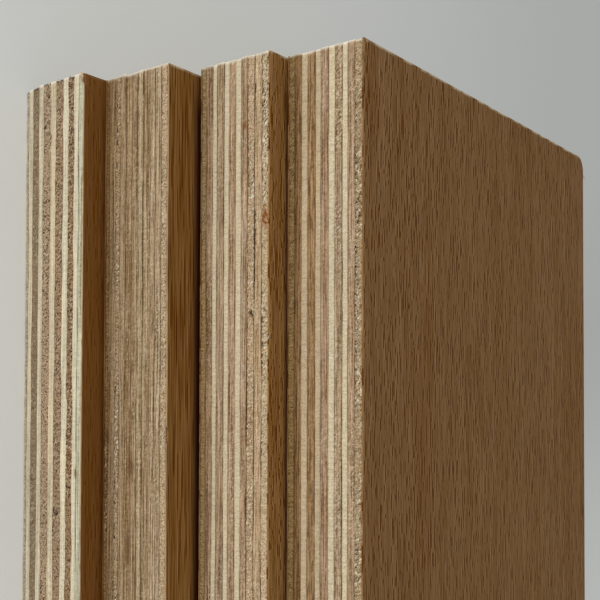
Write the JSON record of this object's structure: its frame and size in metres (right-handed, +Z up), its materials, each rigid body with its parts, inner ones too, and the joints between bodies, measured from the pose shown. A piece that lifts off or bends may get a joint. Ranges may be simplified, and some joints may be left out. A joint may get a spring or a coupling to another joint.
{
  "type": "stack of plywood sheets",
  "caption": "Stack of plywood sheets lying flat, with bare laminated edges that step back at the front and brown open-grained faces, used as sheet stock or finish samples.",
  "frame": {"origin": "on the underside, at the middle of the stack's length and depth", "axes": "+X along the length and the face grain, -Y towards the stepped front edges, +Z up through the sheets"},
  "size_m": [0.148, 0.1252, 0.0688],
  "materials": {
    "face_veneer": "bare open-grained brown veneer",
    "outer_ply": "sawn edge, fuzzy pale end grain",
    "pale_ply": "sawn edge, smooth cream",
    "brown_ply": "sawn edge, streaky pinkish brown",
    "tan_ply": "sawn edge, dull tan"
  },
  "bodies": {
    "root": {"sheet_1_back_veneer": "face_veneer", "sheet_1_cross_ply_01": "outer_ply", "sheet_1_long_ply_02": "pale_ply", "sheet_1_cross_ply_03": "brown_ply", "sheet_1_long_ply_04": "pale_ply", "sheet_1_cross_ply_05": "brown_ply", "sheet_1_long_ply_06": "pale_ply", "sheet_1_cross_ply_07": "brown_ply", "sheet_1_long_ply_08": "pale_ply", "sheet_1_cross_ply_09": "brown_ply", "sheet_1_long_ply_10": "pale_ply", "sheet_1_cross_ply_11": "outer_ply", "sheet_1_face_veneer": "face_veneer", "sheet_2_back_veneer": "face_veneer", "sheet_2_cross_ply_01": "outer_ply", "sheet_2_long_ply_02": "tan_ply", "sheet_2_cross_ply_03": "tan_ply", "sheet_2_long_ply_04": "tan_ply", "sheet_2_cross_ply_05": "tan_ply", "sheet_2_long_ply_06": "tan_ply", "sheet_2_cross_ply_07": "tan_ply", "sheet_2_long_ply_08": "tan_ply", "sheet_2_cross_ply_09": "tan_ply", "sheet_2_long_ply_10": "tan_ply", "sheet_2_cross_ply_11": "outer_ply", "sheet_2_face_veneer": "face_veneer", "sheet_3_back_veneer": "face_veneer", "sheet_3_cross_ply_01": "outer_ply", "sheet_3_long_ply_02": "brown_ply", "sheet_3_cross_ply_03": "pale_ply", "sheet_3_long_ply_04": "brown_ply", "sheet_3_cross_ply_05": "pale_ply", "sheet_3_long_ply_06": "brown_ply", "sheet_3_cross_ply_07": "pale_ply", "sheet_3_long_ply_08": "brown_ply", "sheet_3_cross_ply_09": "pale_ply", "sheet_3_long_ply_10": "brown_ply", "sheet_3_cross_ply_11": "outer_ply", "sheet_3_face_veneer": "face_veneer", "sheet_4_back_veneer": "face_veneer", "sheet_4_cross_ply_01": "outer_ply", "sheet_4_long_ply_02": "brown_ply", "sheet_4_cross_ply_03": "pale_ply", "sheet_4_long_ply_04": "brown_ply", "sheet_4_cross_ply_05": "pale_ply", "sheet_4_long_ply_06": "brown_ply", "sheet_4_cross_ply_07": "pale_ply", "sheet_4_long_ply_08": "brown_ply", "sheet_4_cross_ply_09": "pale_ply", "sheet_4_long_ply_10": "brown_ply", "sheet_4_cross_ply_11": "outer_ply", "sheet_4_face_veneer": "face_veneer"}
  },
  "joints": []
}
